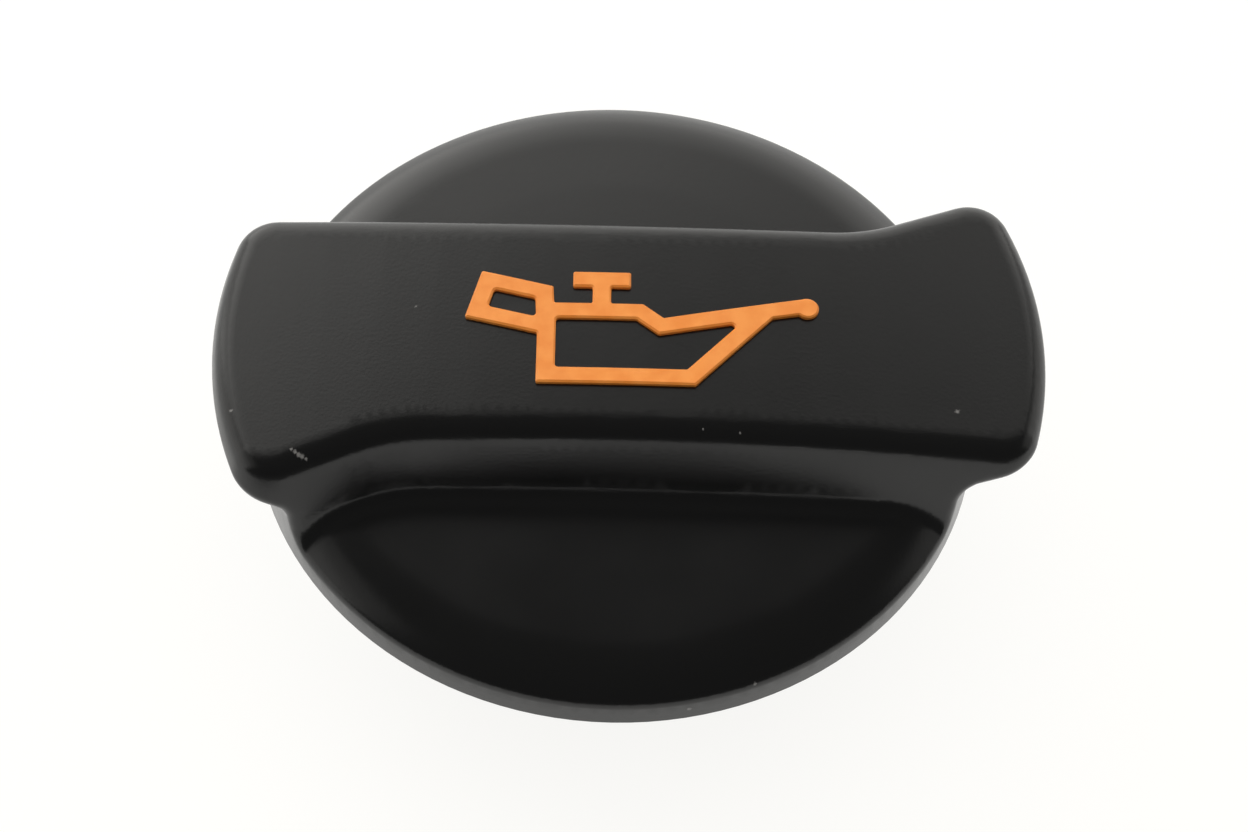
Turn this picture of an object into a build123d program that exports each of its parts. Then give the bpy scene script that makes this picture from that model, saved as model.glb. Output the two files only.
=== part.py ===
from build123d import *
import math
import os

os.makedirs("parts", exist_ok=True)

# Heights above the end of the stem, which is the ground the cap stands on
SEAL_FACE_Z = 15.0
SEAL_T = 2.8
FLANGE_T = 1.8
RIM_ABOVE_SEAL = 2.4

# Disc
DISC_R = 30.0
DISC_H = 5.5
DISC_CROWN = 0.5
SHOULDER_IN = 4.8
SHOULDER_BEND = 7.0
SHOULDER_FALL = 36.0
RIM_FOOT_BEVEL = 0.4
SHELL = 2.0
LIP_T = 2.6

# Grip, its plan given where the drafted walls would meet the level of its top
GRIP_H = 6.4
GRIP_HALF_W = 10.3
GRIP_REACH = 32.8
GRIP_RIGHT = 1.1
GRIP_BACK = 0.32
GRIP_DRAFT = 20.0
CROWN_R = 330.0
FLARE_RUN = 16.2
FLARE_ANGLE = 21.5
FLARE_BLEND = 16.0
END_ROUND = 3.6
TOP_ROUND = 2.0
ROOT_ROUND = 1.6

# Outline that disc and grip are cut to, upright at the rim and sloping out under the grip's ends
OVERHANG_Z = 0.9
OVERHANG_RISE = 2.15
OVERHANG_BLEND = 1.8
OUTLINE_ROUND = 1.0

# Hollow under the grip, and the collar that takes the insert
GRIP_WALL = 2.2
COLLAR_PLAY = 0.15
COLLAR_T = 2.0
COLLAR_DROP = 0.9
SEAT_LEDGE = 2.0
CROSS_RIB_X = 8.0
RIB_T = 1.4
RIM_RIBS = 16
RIB_RECESS = 0.6
SNAP_BEAD = 0.35

# Insert
STEM_R = 18.0
STEM_WALL = 2.5
STEM_LEAD = 0.8
FLANGE_LEDGE = 4.0
LUG_PROUD = 3.0
LUG_T = 3.0
LUG_FOOT_Z = 1.5
LUG_ARC = 54.0
LUG_RAMP = 1.2
LUG_ROUND = 0.6
STOP_ARC = 7.0
STOP_H = 3.0
KEYS = 4
KEY_W = 4.0
KEY_DEPTH = 1.2
KEY_PLAY = 0.1

# Sealing ring
SEAL_W = 3.6
SEAL_BEVEL = 0.6

# Oil-can sign, drawn about a point of its own on the grip's top
SIGN_X = 0.8
SIGN_STROKE = 1.5
SIGN_PROUD = 0.4
SIGN_SINK = 0.4
SIGN_EDGE = 0.15
SIGN_CORNER = 0.18
SIGN_HOLE_CORNER = 0.3
CAN_LEFT = -7.38
CAN_TOP = 2.07
CAN_FOOT = -5.76
CAN_HEEL_X = 5.40
CAN_SHOULDER_X = 1.15
VALLEY_X = 2.83
VALLEY_Y = 0.74
SPOUT_SLOPE = 12.0
HEEL_SLOPE = 47.6
SPOUT_W = 1.5
SPOUT_END_X = 14.5
SPOUT_END_R = 0.95
HANDLE_LEFT = -12.0
HANDLE_TOP = 5.20
HANDLE_RIGHT = -6.15
HANDLE_FALL = 14.4
HANDLE_H = 4.61
HANDLE_LEAN = 1.25
FILLER_X = -2.2
FILLER_TOP = 5.19
FILLER_W = 4.7

# Levels and radii that follow
flange_foot_z = SEAL_FACE_Z + SEAL_T
flange_top_z = flange_foot_z + FLANGE_T
rim_z = SEAL_FACE_Z + RIM_ABOVE_SEAL
disc_top_z = rim_z + DISC_H
grip_top_z = disc_top_z + GRIP_H
brow_z = disc_top_z + OVERHANG_Z
flange_r = STEM_R + FLANGE_LEDGE
lug_r = STEM_R + LUG_PROUD
seal_out_r = STEM_R + SEAL_W
seat_r = flange_r - SEAT_LEDGE
collar_in_r = flange_r + COLLAR_PLAY
collar_out_r = collar_in_r + COLLAR_T
lip_in_r = DISC_R - LIP_T
bore_r = STEM_R - STEM_WALL

# Disc's top from the middle out: a shallow dome, a bend, and a slope that runs on past the rim
shoulder_r = DISC_R - SHOULDER_IN
shoulder_z = disc_top_z - DISC_CROWN
dome_r = (shoulder_r ** 2 + DISC_CROWN ** 2) / (2 * DISC_CROWN)
dome_tilt = math.asin(shoulder_r / dome_r)
fall = math.radians(SHOULDER_FALL)
draft = math.radians(GRIP_DRAFT)
bend_r = shoulder_r - SHOULDER_BEND * math.sin(dome_tilt)
bend_z = shoulder_z - SHOULDER_BEND * math.cos(dome_tilt)
slope_r = bend_r + SHOULDER_BEND * math.sin(fall)
slope_z = bend_z + SHOULDER_BEND * math.cos(fall)
rim_top_z = slope_z - (DISC_R - slope_r) * math.tan(fall)

# Depth and radius where the walls at the grip's ends would meet that slope
end_r = GRIP_REACH + GRIP_RIGHT
meet = grip_top_z - slope_z + (end_r - slope_r) * math.tan(fall)
meet = meet / (1 - math.tan(draft) * math.tan(fall)) + 2 * ROOT_ROUND
grip_foot_z = grip_top_z - meet
wide_r = end_r + (meet + 2 * ROOT_ROUND) * math.tan(draft)


def turned(profile):
    """Solid swept round the cap's axis by a face drawn in radius and height."""
    return Rot(0, 0, 90) * revolve(Plane.XZ * profile, Axis.Z)


def ring(inner, outer, foot, head):
    """Plain ring, or a plain disc when the inner radius is nought."""
    body = Pos(0, 0, foot) * extrude(Circle(outer), head - foot)
    if inner > 0:
        body = body - Pos(0, 0, foot) * extrude(Circle(inner), head - foot)
    return body


def sector(inner, outer, arc, foot, head):
    """Piece of a plain ring, arc degrees wide about the X axis."""
    side = 2 * outer * math.tan(math.radians(arc / 2))
    wedge = make_face(Polyline((0, 0), (2 * outer, -side), (2 * outer, side), close=True))
    return ring(inner, outer, foot, head) & Pos(0, 0, foot) * extrude(wedge, head - foot)


def crown(lift):
    """Long barrel whose upper side is the crowned top of the grip, raised by lift."""
    barrel = Cylinder(CROWN_R + lift, 4 * DISC_R, rotation=(90, 0, 0))
    return Pos(GRIP_RIGHT, 0, grip_top_z - CROWN_R) * barrel


def grip_plan(grow):
    """S-shaped plan of the grip let out by grow: flat, flare and end arc, and the same turned half round."""
    reach = GRIP_REACH + grow
    half = GRIP_HALF_W + grow
    slope = math.radians(FLARE_ANGLE)
    bend_x = FLARE_RUN - GRIP_REACH - grow * math.tan(slope / 2)
    toward = -bend_x * math.cos(slope) + half * math.sin(slope)
    run = math.sqrt(toward ** 2 + reach ** 2 - bend_x ** 2 - half ** 2) - toward
    bend = Vector(bend_x, -half)
    tip = bend - run * Vector(math.cos(slope), math.sin(slope))
    corner = Vector(math.sqrt(reach ** 2 - half ** 2), -half)
    line = Polyline(tip, bend, corner)
    line += ThreePointArc(corner, (reach, 0), -tip)
    line += Polyline(-tip, -bend, -corner)
    line += ThreePointArc(-corner, (-reach, 0), tip)
    plan = make_face(line)
    bends = plan.vertices().filter_by(lambda v: abs(abs(v.X) - abs(bend_x)) < 1e-4)
    return fillet(bends, FLARE_BLEND - grow)


def grip_block(inset):
    """Drafted block on the grip's plan, its upright corners rounded, under the crowned top."""
    depth = grip_top_z - grip_foot_z
    plan = grip_plan(depth * math.tan(draft) - inset)
    block = extrude(Pos(GRIP_RIGHT, GRIP_BACK, grip_foot_z) * plan, depth + 1, taper=GRIP_DRAFT)
    upright = block.edges().filter_by(lambda e: abs((e @ 0).Z - (e @ 1).Z) > depth)
    ends = upright.filter_by(lambda e: abs((e @ 0).X - GRIP_RIGHT) > GRIP_REACH * 0.75)
    return fillet(ends, END_ROUND) & crown(-inset)


# Disc and grip grown together out past the rim, with a round along the root of the grip
half_bend = (dome_tilt + fall) / 2
bend_mid = (bend_r + SHOULDER_BEND * math.sin(half_bend), bend_z + SHOULDER_BEND * math.cos(half_bend))
slope_foot_z = slope_z - (wide_r - slope_r) * math.tan(fall)
disc_foot_z = slope_foot_z - ROOT_ROUND
profile = RadiusArc((0, disc_top_z), (shoulder_r, shoulder_z), dome_r)
profile += ThreePointArc((shoulder_r, shoulder_z), bend_mid, (slope_r, slope_z))
profile += Polyline(
    (slope_r, slope_z), (wide_r, slope_foot_z), (wide_r, disc_foot_z), (0, disc_foot_z), (0, disc_top_z),
)
disc = turned(make_face(profile))
grip = grip_block(0)
grip = fillet(grip.faces().sort_by(Axis.Z)[-1].edges(), TOP_ROUND)
cap = disc + grip
roots = cap.edges().filter_by(lambda e: disc.distance_to(e @ 0.5) + grip.distance_to(e @ 0.5) < 1e-3)
cap = fillet(roots, ROOT_ROUND)

# The two cut to one outline, and the edge that this leaves rounded all the way along
end_run = end_r + (grip_top_z - brow_z) * math.tan(draft) - DISC_R
brow_top_z = brow_z + (wide_r - DISC_R) * OVERHANG_RISE / end_run
over_z = brow_top_z + GRIP_H
outline = make_face(Polyline(
    (0, rim_z), (DISC_R, rim_z), (DISC_R, brow_z), (wide_r, brow_top_z), (wide_r, over_z), (0, over_z),
    close=True,
))
outline = fillet(outline.vertices().sort_by_distance((DISC_R, brow_z))[0], OVERHANG_BLEND)
outline = chamfer(outline.vertices().sort_by_distance((DISC_R, rim_z))[0], RIM_FOOT_BEVEL)
cap = cap & turned(outline)
rim_edges = cap.edges().filter_by(GeomType.CIRCLE).filter_by(lambda e: abs((e @ 0.5).Z - rim_top_z) < 1e-3)
cap = fillet(rim_edges, OUTLINE_ROUND)

# Collar, with the hollow of the grip inside it and a ribbed gutter outside it
ceiling_z = shoulder_z - SHELL
hollow = grip_block(GRIP_WALL)
cross_rib = Box(RIB_T, 4 * DISC_R, 4 * GRIP_H)
cross_rib_z = flange_top_z + 2 * GRIP_H
core = hollow & ring(0, seat_r, flange_top_z, grip_top_z)
core = core - [Pos(x, 0, cross_rib_z) * cross_rib for x in (-CROSS_RIB_X, CROSS_RIB_X)]
core = core + ring(0, seat_r, rim_z, ceiling_z)
core = core + ring(0, collar_in_r, rim_z - 2 * COLLAR_DROP, flange_top_z)
gutter = ring(collar_out_r, lip_in_r, rim_z, ceiling_z)
gutter = gutter + (hollow & ring(collar_out_r, lip_in_r, flange_top_z, grip_top_z))
rim_rib = Box(lip_in_r - collar_out_r + 1, RIB_T, 2 * GRIP_H)
rim_rib = Pos((collar_out_r + lip_in_r) / 2, 0, rim_z + RIB_RECESS + GRIP_H) * rim_rib
gutter = gutter - [Rot(0, 0, (i + 0.5) * 360 / RIM_RIBS) * rim_rib for i in range(RIM_RIBS)]
cap = cap + ring(collar_in_r - 1, collar_out_r, rim_z - COLLAR_DROP, rim_z + 1)
cap = cap - core - gutter

# Snap bead that holds the insert's flange from below, and the keys that turn it
bead_in_r = collar_in_r - SNAP_BEAD
bead_out_r = collar_in_r + COLLAR_T / 2
bead_foot_z = flange_foot_z - 2 * SNAP_BEAD
bead = turned(make_face(Polyline(
    (bead_out_r, flange_foot_z), (bead_in_r, flange_foot_z),
    (collar_in_r, bead_foot_z), (bead_out_r, bead_foot_z), close=True,
)))
key = Pos(collar_in_r, 0, flange_foot_z) * extrude(Rectangle(2 * KEY_DEPTH, KEY_W), FLANGE_T)
key_turns = [Rot(0, 0, (i + 0.5) * 360 / KEYS) for i in range(KEYS)]
cap = cap + bead + [turn * key for turn in key_turns]

# Oil-can sign: can and handle as outlines one stroke wide, filler as a T, spout with a round end
spout_tan = math.tan(math.radians(SPOUT_SLOPE))
heel_tan = math.tan(math.radians(HEEL_SLOPE))
fall_tan = math.tan(math.radians(HANDLE_FALL))
nose_x = (VALLEY_Y - VALLEY_X * spout_tan - CAN_FOOT + CAN_HEEL_X * heel_tan) / (heel_tan - spout_tan)
nose_y = VALLEY_Y + (nose_x - VALLEY_X) * spout_tan
spout_x = (CAN_HEEL_X + nose_x) / 2
spout_y = VALLEY_Y + (spout_x - VALLEY_X) * spout_tan
spout_end_y = VALLEY_Y + (SPOUT_END_X - VALLEY_X) * spout_tan
handle_foot_y = HANDLE_TOP - HANDLE_H
handle_root_x = CAN_LEFT + SIGN_STROKE
handle_root_y = handle_foot_y - (handle_root_x - HANDLE_LEFT + HANDLE_LEAN) * fall_tan
handle_right_y = HANDLE_TOP - (HANDLE_RIGHT - HANDLE_LEFT) * fall_tan
can = make_face(Polyline(
    (CAN_LEFT, CAN_TOP), (CAN_LEFT, CAN_FOOT), (CAN_HEEL_X, CAN_FOOT), (nose_x, nose_y),
    (VALLEY_X, VALLEY_Y), (CAN_SHOULDER_X, CAN_TOP), close=True,
))
handle = make_face(Polyline(
    (HANDLE_LEFT, HANDLE_TOP), (HANDLE_LEFT - HANDLE_LEAN, handle_foot_y),
    (handle_root_x, handle_root_y), (HANDLE_RIGHT, handle_right_y), close=True,
))
spout = make_face(Polyline(
    (spout_x, spout_y), (spout_x, spout_y - SPOUT_W),
    (SPOUT_END_X, spout_end_y - SPOUT_W), (SPOUT_END_X, spout_end_y), close=True,
))
drop = Pos(SPOUT_END_X, spout_end_y - SPOUT_END_R) * Circle(SPOUT_END_R)
filler_h = FILLER_TOP - CAN_TOP + SIGN_STROKE / 2
filler = Pos(FILLER_X, FILLER_TOP - filler_h / 2) * Rectangle(SIGN_STROKE, filler_h)
filler_bar = Pos(FILLER_X, FILLER_TOP - SIGN_STROKE / 2) * Rectangle(FILLER_W, SIGN_STROKE)
can_hole = offset(can, -SIGN_STROKE, kind=Kind.INTERSECTION)
handle_hole = offset(handle, -SIGN_STROKE, kind=Kind.INTERSECTION)
sign = can + handle + spout + drop + filler + filler_bar
sign = fillet(sign.vertices(), SIGN_CORNER)
sign = sign - fillet(can_hole.vertices(), SIGN_HOLE_CORNER) - fillet(handle_hole.vertices(), SIGN_HOLE_CORNER)

# Sign let into the crowned top and standing a little proud of it
symbol = Pos(SIGN_X, 0, disc_top_z) * extrude(sign, 2 * GRIP_H) & crown(SIGN_PROUD)
symbol = symbol - crown(-SIGN_SINK)
cap = cap - symbol
symbol = chamfer(symbol.faces().sort_by(Axis.Z)[-1].edges(), SIGN_EDGE)

# Insert: flange with notches for the keys, and a hollow stem
insert = ring(0, flange_r, flange_foot_z, flange_top_z)
notch = extrude(Rectangle(2 * (KEY_DEPTH + KEY_PLAY), KEY_W + 2 * KEY_PLAY), FLANGE_T)
notch = Pos(collar_in_r, 0, flange_foot_z) * notch
insert = insert - [turn * notch for turn in key_turns]
insert = insert + turned(make_face(Polyline(
    (bore_r, 0), (STEM_R - STEM_LEAD, 0), (STEM_R, STEM_LEAD),
    (STEM_R, flange_top_z), (bore_r, flange_top_z), close=True,
)))

# Two bayonet lugs, ramped on top and each with a stop at the end of its ramp
lug_head_z = LUG_FOOT_Z + LUG_T
lug_root_r = STEM_R - STEM_WALL / 2
lug = sector(lug_root_r, lug_r, LUG_ARC, LUG_FOOT_Z, lug_head_z)
ramp = math.degrees(math.atan(LUG_RAMP / (lug_r * math.radians(LUG_ARC))))
shave = Pos(0, 0, lug_r) * Box(4 * lug_r, 4 * lug_r, 2 * lug_r)
lug = lug - Pos(0, 0, lug_head_z - LUG_RAMP / 2) * Rot(ramp, 0, 0) * shave
lug_ends = lug.edges().filter_by(Axis.Z)
lug_ends = lug_ends.filter_by(lambda e: math.hypot(e.center().X, e.center().Y) > STEM_R)
lug = fillet(lug_ends, LUG_ROUND)
stop = sector(lug_root_r, lug_r - LUG_ROUND, STOP_ARC, LUG_FOOT_Z + LUG_T / 2, lug_head_z + STOP_H)
lug = lug + Rot(0, 0, LUG_ARC / 2 - STOP_ARC) * stop
insert = insert + lug + Rot(0, 0, 180) * lug

# Sealing ring, bevelled on the side that meets the filler neck
seal = ring(STEM_R, seal_out_r, SEAL_FACE_Z, flange_foot_z)
seal = chamfer(seal.edges().filter_by(GeomType.CIRCLE).group_by(Axis.Z)[0], SEAL_BEVEL)

export_step(cap, "parts/grip_cap.step")
export_step(symbol, "parts/oil_can_symbol.step")
export_step(insert, "parts/bayonet_insert.step")
export_step(seal, "parts/sealing_ring.step")
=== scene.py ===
import math

import bmesh
import bpy
import numpy as np
from mathutils import Matrix, Vector


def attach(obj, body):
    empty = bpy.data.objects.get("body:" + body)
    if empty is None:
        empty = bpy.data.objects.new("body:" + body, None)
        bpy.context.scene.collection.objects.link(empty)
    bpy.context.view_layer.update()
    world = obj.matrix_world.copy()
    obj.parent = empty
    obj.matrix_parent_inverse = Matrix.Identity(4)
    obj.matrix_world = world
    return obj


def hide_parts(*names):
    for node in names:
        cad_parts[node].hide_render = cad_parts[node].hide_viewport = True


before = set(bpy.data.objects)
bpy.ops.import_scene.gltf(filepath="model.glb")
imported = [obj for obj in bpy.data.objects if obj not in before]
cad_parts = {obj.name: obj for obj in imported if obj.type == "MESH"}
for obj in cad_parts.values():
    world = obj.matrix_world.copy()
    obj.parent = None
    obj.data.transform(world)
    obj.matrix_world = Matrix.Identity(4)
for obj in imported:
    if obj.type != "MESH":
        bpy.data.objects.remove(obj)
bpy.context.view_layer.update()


# Bayonet insert. A tube closed by a flange at its head, with two ramped lugs near its foot, moulded in
# one piece of black glass-filled nylon. The cap snaps over the flange, and the lugs lock in the neck.
MERGE_WITHIN = 2e-6
CREASE = math.radians(28)
NYLON_BLACK = (0.012, 0.012, 0.013, 1)
NYLON_IOR = 1.53


def halved(points, corners, longest):
    """The same surface in smaller triangles: every edge longer than longest is cut at its middle, over and
    over. A triangle with one cut edge becomes two, with two cut edges three, and with three four."""
    while True:
        ends = np.sort(corners[:, [[0, 1], [1, 2], [2, 0]]], axis=2)
        edges, edge_of = np.unique(ends.reshape(-1, 2), axis=0, return_inverse=True)
        start, end = points[edges[:, 0]], points[edges[:, 1]]
        cut = np.linalg.norm(end - start, axis=1) > longest
        if not cut.any():
            return points, corners
        middle = np.full(len(edges), -1)
        middle[cut] = len(points) + np.arange(cut.sum())
        middle = middle[edge_of.reshape(-1, 3)]
        points = np.vstack([points, (start[cut] + end[cut]) / 2])
        cuts = (middle >= 0).sum(axis=1)
        smaller = [corners[cuts == 0]]
        for number in (1, 2, 3):
            a, b, c = corners[cuts == number].T
            ab, bc, ca = middle[cuts == number].T
            for turn in range(3):
                if number == 1:
                    pick = ab >= 0
                    smaller += [np.stack(t, 1)[pick] for t in ((a, ab, c), (ab, b, c))]
                elif number == 2:
                    pick = ca < 0
                    smaller += [np.stack(t, 1)[pick] for t in ((ab, b, bc), (a, ab, bc), (a, bc, c))]
                elif turn == 0:
                    four = ((a, ab, ca), (ab, b, bc), (ca, bc, c), (ab, bc, ca))
                    smaller += [np.stack(t, 1) for t in four]
                a, b, c, ab, bc, ca = b, c, a, bc, ca, ab
        corners = np.vstack(smaller)


def merged_piece(node, name, longest):
    """The form of a solid as one closed skin: a copy of its triangles, merged where their corners meet and
    halved down to longest, so that the rounds shade evenly into the flat sides. Smooth over edges that
    turn by less than CREASE and sharp over the rest."""
    skin = bmesh.new()
    skin.from_mesh(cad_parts[node].data)
    bmesh.ops.remove_doubles(skin, verts=skin.verts, dist=MERGE_WITHIN)
    merged = bpy.data.meshes.new(name + "_merged")
    skin.to_mesh(merged)
    skin.free()
    points = np.empty(3 * len(merged.vertices))
    corners = np.empty(len(merged.loops), dtype=np.int32)
    merged.vertices.foreach_get("co", points)
    merged.loops.foreach_get("vertex_index", corners)
    bpy.data.meshes.remove(merged)
    points, corners = halved(points.reshape(-1, 3), corners.reshape(-1, 3), longest)
    mesh = bpy.data.meshes.new(name)
    mesh.from_pydata(points.tolist(), [], corners.tolist())
    mesh.shade_smooth()
    mesh.set_sharp_from_angle(angle=CREASE)
    piece = bpy.data.objects.new(name, mesh)
    bpy.context.scene.collection.objects.link(piece)
    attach(piece, "root")
    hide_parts(node)
    return piece


def new_material(name):
    """A node material with its shader, and Object coordinates for the patterns on it."""
    material = bpy.data.materials.new(name)
    material.use_nodes = True
    nodes = material.node_tree.nodes
    place = nodes.new("ShaderNodeTexCoord")
    return material, nodes["Principled BSDF"], place.outputs["Object"]


def cloud(material, place, scale, detail=2.0):
    """Cloudy pattern, with about scale blobs to the metre."""
    node = material.node_tree.nodes.new("ShaderNodeTexNoise")
    node.inputs["Scale"].default_value = scale
    node.inputs["Detail"].default_value = detail
    material.node_tree.links.new(place, node.inputs["Vector"])
    return node.outputs["Fac"]


def ramp(material, source, low, high, at_low=0.35, at_high=0.65):
    """Straight change from low to high while source goes from at_low to at_high."""
    node = material.node_tree.nodes.new("ShaderNodeMapRange")
    for key, value in (("From Min", at_low), ("From Max", at_high), ("To Min", low), ("To Max", high)):
        node.inputs[key].default_value = value
    material.node_tree.links.new(source, node.inputs["Value"])
    return node.outputs["Result"]


def grain(material, shader, height, depth):
    """Raises and sinks the skin by depth metres where height goes from 0 to 1."""
    node = material.node_tree.nodes.new("ShaderNodeBump")
    node.inputs["Distance"].default_value = depth
    material.node_tree.links.new(height, node.inputs["Height"])
    material.node_tree.links.new(node.outputs["Normal"], shader.inputs["Normal"])


def filled_nylon():
    """Black nylon with short glass fibres: a fine streaky skin with a cloudy gloss."""
    material, shader, place = new_material("filled_nylon")
    shader.inputs["Base Color"].default_value = NYLON_BLACK
    shader.inputs["IOR"].default_value = NYLON_IOR
    gloss = ramp(material, cloud(material, place, 220), 0.36, 0.5)
    material.node_tree.links.new(gloss, shader.inputs["Roughness"])
    grain(material, shader, cloud(material, place, 2600, detail=3), 1.2e-5)
    return material


insert = merged_piece("bayonet_insert", "insert_moulding", longest=3e-3)
insert.data.materials.append(filled_nylon())


# Sealing ring. A flat ring of oil-proof rubber, stretched over the stem and pushed up against the
# flange. It is pressed on the neck's rim when the cap is turned home.
RUBBER_BLACK = (0.012, 0.012, 0.012, 1)
RUBBER_BLOOM = (0.030, 0.030, 0.029, 1)


def blended(material, shader, share, first, second):
    """Colours the skin from first to second while share goes from 0 to 1."""
    node = material.node_tree.nodes.new("ShaderNodeMix")
    node.data_type = "RGBA"
    node.inputs["A"].default_value = first
    node.inputs["B"].default_value = second
    material.node_tree.links.new(share, node.inputs["Factor"])
    material.node_tree.links.new(node.outputs["Result"], shader.inputs["Base Color"])


def nitrile_rubber():
    """Matt black rubber with the greyish bloom that a moulded ring has."""
    material, shader, place = new_material("nitrile_rubber")
    bloom = ramp(material, cloud(material, place, 160), 0.0, 1.0)
    blended(material, shader, bloom, RUBBER_BLACK, RUBBER_BLOOM)
    gloss = ramp(material, cloud(material, place, 420), 0.62, 0.78)
    material.node_tree.links.new(gloss, shader.inputs["Roughness"])
    grain(material, shader, cloud(material, place, 3500, detail=3), 1.5e-5)
    return material


ring = merged_piece("sealing_ring", "seal_moulding", longest=1.6e-3)
ring.data.materials.append(nitrile_rubber())


# Grip cap. The domed disc and its S-shaped grip bar, moulded in one shell of black plastic with a fine
# satin skin, hollow and ribbed underneath. It snaps over the insert's flange.
SATIN_BLACK = (0.0030, 0.0030, 0.0029, 1)
SATIN_IOR = 1.5
DUST_GREY = (0.16, 0.155, 0.15, 1)
# Centre and radius, in millimetres, of the specks of dust on the cap and of a nick along its front edge.
SPECKS = (((27.19, -6.84, 28.23), 0.22), ((-16.47, 1.82, 28.74), 0.16), ((-30.74, -7.98, 27.56), 0.18),
          ((6.09, -29.36, 19.15), 0.22), ((11.21, -27.68, 20.36), 0.18), ((6.79, -9.57, 28.99), 0.12),
          ((9.72, -9.76, 28.83), 0.12), ((-25.66, -11.88, 28.21), 0.16), ((-25.33, -12.13, 28.18), 0.20),
          ((-25.05, -12.32, 28.12), 0.24), ((-24.77, -12.48, 28.02), 0.22), ((-24.45, -12.58, 27.90), 0.16))
SPECK_CORE = 0.4


def specks(material, place):
    """One in the core of each speck, falling straight to nought at its radius, with the distance from its
    centre frayed by a fine cloud. Where specks meet, the larger value counts."""
    nodes, links = material.node_tree.nodes, material.node_tree.links
    fray = ramp(material, cloud(material, place, 6000), 0.7, 1.3)
    total = None
    for centre, radius in SPECKS:
        away = nodes.new("ShaderNodeVectorMath")
        away.operation = "DISTANCE"
        links.new(place, away.inputs[0])
        away.inputs[1].default_value = Vector(centre) / 1000
        frayed = nodes.new("ShaderNodeMath")
        frayed.operation = "MULTIPLY"
        links.new(away.outputs["Value"], frayed.inputs[0])
        links.new(fray, frayed.inputs[1])
        core = SPECK_CORE * radius / 1000
        speck = ramp(material, frayed.outputs["Value"], 1.0, 0.0, core, radius / 1000)
        if total is None:
            total = speck
        else:
            larger = nodes.new("ShaderNodeMath")
            larger.operation = "MAXIMUM"
            links.new(total, larger.inputs[0])
            links.new(speck, larger.inputs[1])
            total = larger.outputs["Value"]
    return total


def satin_black():
    """Black plastic from a finely eroded mould: satin, with a faint grain, cloudy gloss and a few specks."""
    material, shader, place = new_material("satin_black")
    blended(material, shader, specks(material, place), SATIN_BLACK, DUST_GREY)
    shader.inputs["IOR"].default_value = SATIN_IOR
    gloss = ramp(material, cloud(material, place, 120, detail=4), 0.22, 0.26)
    material.node_tree.links.new(gloss, shader.inputs["Roughness"])
    grain(material, shader, cloud(material, place, 3800), 5e-6)
    return material


cap = merged_piece("grip_cap", "cap_moulding", longest=1.2e-3)
cap.data.materials.append(satin_black())


# Oil-can sign. A flat figure of orange plastic, let into the crown of the grip and standing a little
# proud of it, with its upper edges broken.
ORANGE_DEEP = (0.90, 0.272, 0.034, 1)
ORANGE_LIGHT = (0.97, 0.330, 0.055, 1)


def signal_orange():
    """Orange plastic, slightly mottled, satin."""
    material, shader, place = new_material("signal_orange")
    mottle = ramp(material, cloud(material, place, 700, detail=3), 0.0, 1.0)
    blended(material, shader, mottle, ORANGE_DEEP, ORANGE_LIGHT)
    gloss = ramp(material, cloud(material, place, 900), 0.34, 0.46)
    material.node_tree.links.new(gloss, shader.inputs["Roughness"])
    grain(material, shader, cloud(material, place, 4200), 6e-6)
    return material


sign = merged_piece("oil_can_symbol", "sign_figure", longest=0.9e-3)
sign.data.materials.append(signal_orange())


# Studio. A wide floor of pale paper that the cap stands on, with sheets of soft light behind it and at
# its sides and a broad light overhead. The room in front of it is dim.
FLOOR_HALF = 1.6
PAPER = (0.12, 0.12, 0.116, 1)
PAPER_GLOW = (1.0, 0.995, 0.975, 1)
PAPER_GLOW_STRENGTH = 0.90
PAPER_ROUGHNESS = 0.9
WARM = (1.0, 0.985, 0.95)
DIM = (0.12, 0.12, 0.12, 1)
# Upper end of each sheet behind the cap, in degrees above the floor, and its radiance.
BACK_SHEETS = ((45.0, 0.28), (49.0, 0.28), (54.0, 0.34), (57.0, 0.29), (59.5, 0.10))
# Half width, in degrees, of each sheet behind on the left. They share the edge at LEFT_BACK_EDGE.
LEFT_BACK_SHEETS = (27.0, 23.0, 19.0)
LEFT_BACK_EDGE = 240
# Upper end of each sheet on the left, in degrees above the floor.
LEFT_SHEETS = (24.0, 36.0, 50.0)

floor_mesh = bpy.data.meshes.new("floor")
floor_mesh.from_pydata([(-FLOOR_HALF, -FLOOR_HALF, 0), (FLOOR_HALF, -FLOOR_HALF, 0),
                        (FLOOR_HALF, FLOOR_HALF, 0), (-FLOOR_HALF, FLOOR_HALF, 0)], [], [(0, 1, 2, 3)])
floor = bpy.data.objects.new("floor", floor_mesh)
bpy.context.scene.collection.objects.link(floor)
paper, paper_shader, _ = new_material("pale_paper")
paper_shader.inputs["Base Color"].default_value = PAPER
paper_shader.inputs["Roughness"].default_value = PAPER_ROUGHNESS
paper_shader.inputs["Emission Color"].default_value = PAPER_GLOW
paper_shader.inputs["Emission Strength"].default_value = PAPER_GLOW_STRENGTH
floor_mesh.materials.append(paper)


def spread(half):
    """Size, at one metre, of what reaches half degrees to both sides of its middle: twice the tangent."""
    return 2 * math.tan(math.radians(half))


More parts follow.
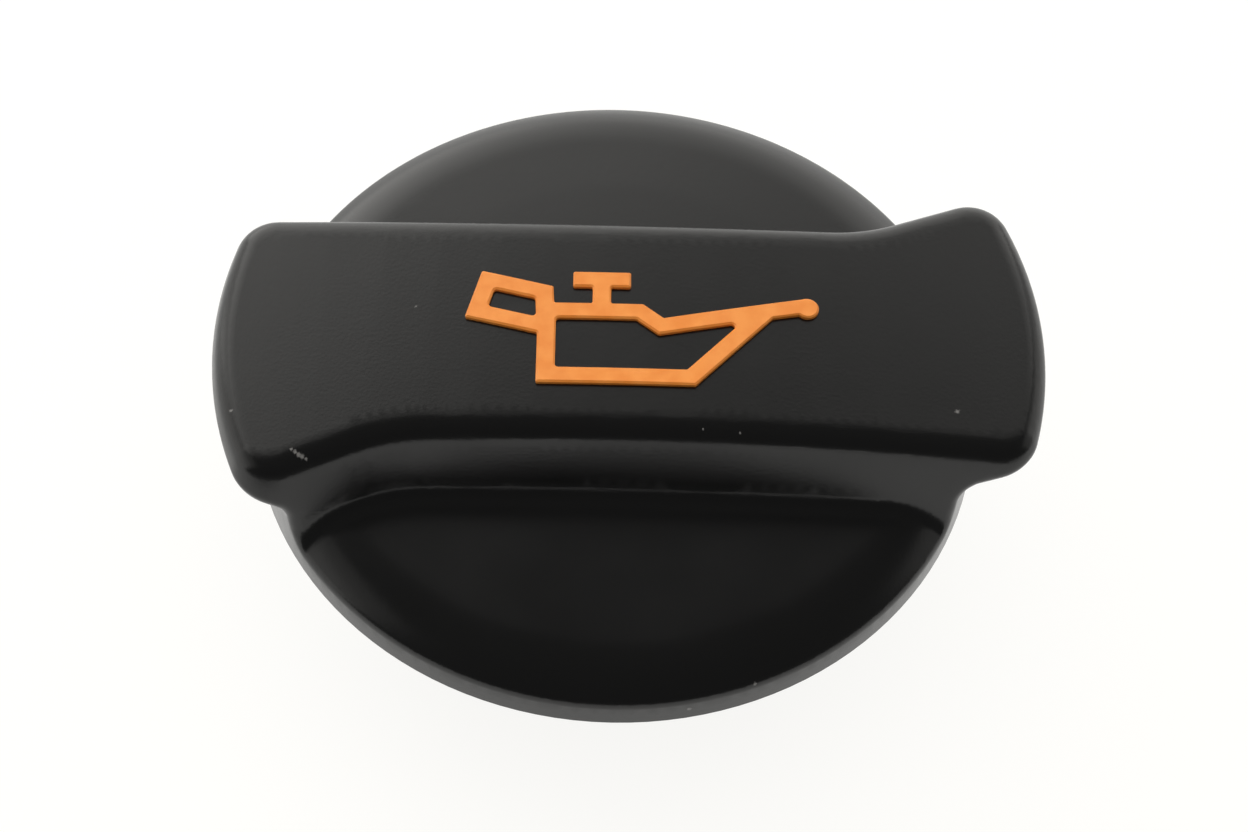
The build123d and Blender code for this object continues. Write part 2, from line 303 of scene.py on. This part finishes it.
def soft_box(name, azimuth, elevation, width, height, radiance, away=1.0, glossy=True):
    """A rectangular light that faces the part from a direction, azimuth 0 in front and 90 on the right.
    Its power follows from its area and the radiance of its face: power = pi x area x radiance."""
    lamp = bpy.data.lights.new(name, "AREA")
    lamp.shape = "RECTANGLE"
    lamp.size, lamp.size_y = width, height
    lamp.energy = math.pi * width * height * radiance
    lamp.color = WARM
    a, e = math.radians(azimuth), math.radians(elevation)
    towards = Vector((math.sin(a) * math.cos(e), -math.cos(a) * math.cos(e), math.sin(e)))
    box = bpy.data.objects.new(name, lamp)
    box.location = towards * away
    box.rotation_mode = "QUATERNION"
    box.rotation_quaternion = towards.to_track_quat("Z", "Y")
    box.visible_glossy = glossy
    bpy.context.scene.collection.objects.link(box)


for sheet, (top, radiance) in enumerate(BACK_SHEETS):
    soft_box("back_%d" % sheet, 180, top / 2, 1.7, spread(top / 2), radiance)
for sheet, half in enumerate(LEFT_BACK_SHEETS):
    soft_box("left_back_%d" % sheet, LEFT_BACK_EDGE - half, 28, spread(half), 1.06, 0.30)
for sheet, top in enumerate(LEFT_SHEETS):
    soft_box("left_%d" % sheet, 262, top / 2, 1.1, spread(top / 2), 0.33)
soft_box("right_back", 124, 13, 0.57, 0.46, 0.48)
soft_box("right", 106, 17, 0.81, 0.61, 0.36)
soft_box("overhead", 0, 88, 1.6, 1.6, 1.3, away=1.2, glossy=False)

world = bpy.data.worlds.new("dim_room")
bpy.context.scene.world = world
world.use_nodes = True
world.node_tree.nodes["Background"].inputs["Color"].default_value = DIM


# Camera, set as in the photograph: above and in front of the cap, a little rolled, with the disc's edge
# as the level that it was measured from.
VIEW_AWAY = 0.260
VIEW_ELEVATION = math.radians(56.054)
VIEW_ROLL = math.radians(2.844)
VIEW_TURN = math.radians(-1.776)
VIEW_SHIFT = (0.000663, -0.002454)
EDGE_LEVEL = 0.0207
LENS = 90.36
SENSOR = 36

back = np.array([0, -math.cos(VIEW_ELEVATION), math.sin(VIEW_ELEVATION)])
right = np.array([1.0, 0, 0])
up = np.cross(back, right)
across = math.cos(VIEW_ROLL) * right + math.sin(VIEW_ROLL) * up
upward = -math.sin(VIEW_ROLL) * right + math.cos(VIEW_ROLL) * up
eye = back * VIEW_AWAY + across * VIEW_SHIFT[0] + upward * VIEW_SHIFT[1]
stand = Matrix.Identity(4)
for column, axis in enumerate((across, upward, back, eye)):
    for row in range(3):
        stand[row][column] = axis[row]
lens = bpy.data.cameras.new("camera")
lens.lens = LENS
lens.sensor_width = SENSOR
lens.clip_start, lens.clip_end = 0.01, 20
camera = bpy.data.objects.new("camera", lens)
turned = Matrix.Rotation(VIEW_TURN, 4, "Z")
camera.matrix_world = Matrix.Translation((0, 0, EDGE_LEVEL)) @ turned @ stand
bpy.context.scene.collection.objects.link(camera)
bpy.context.scene.camera = camera
bpy.context.scene.view_settings.view_transform = "Standard"
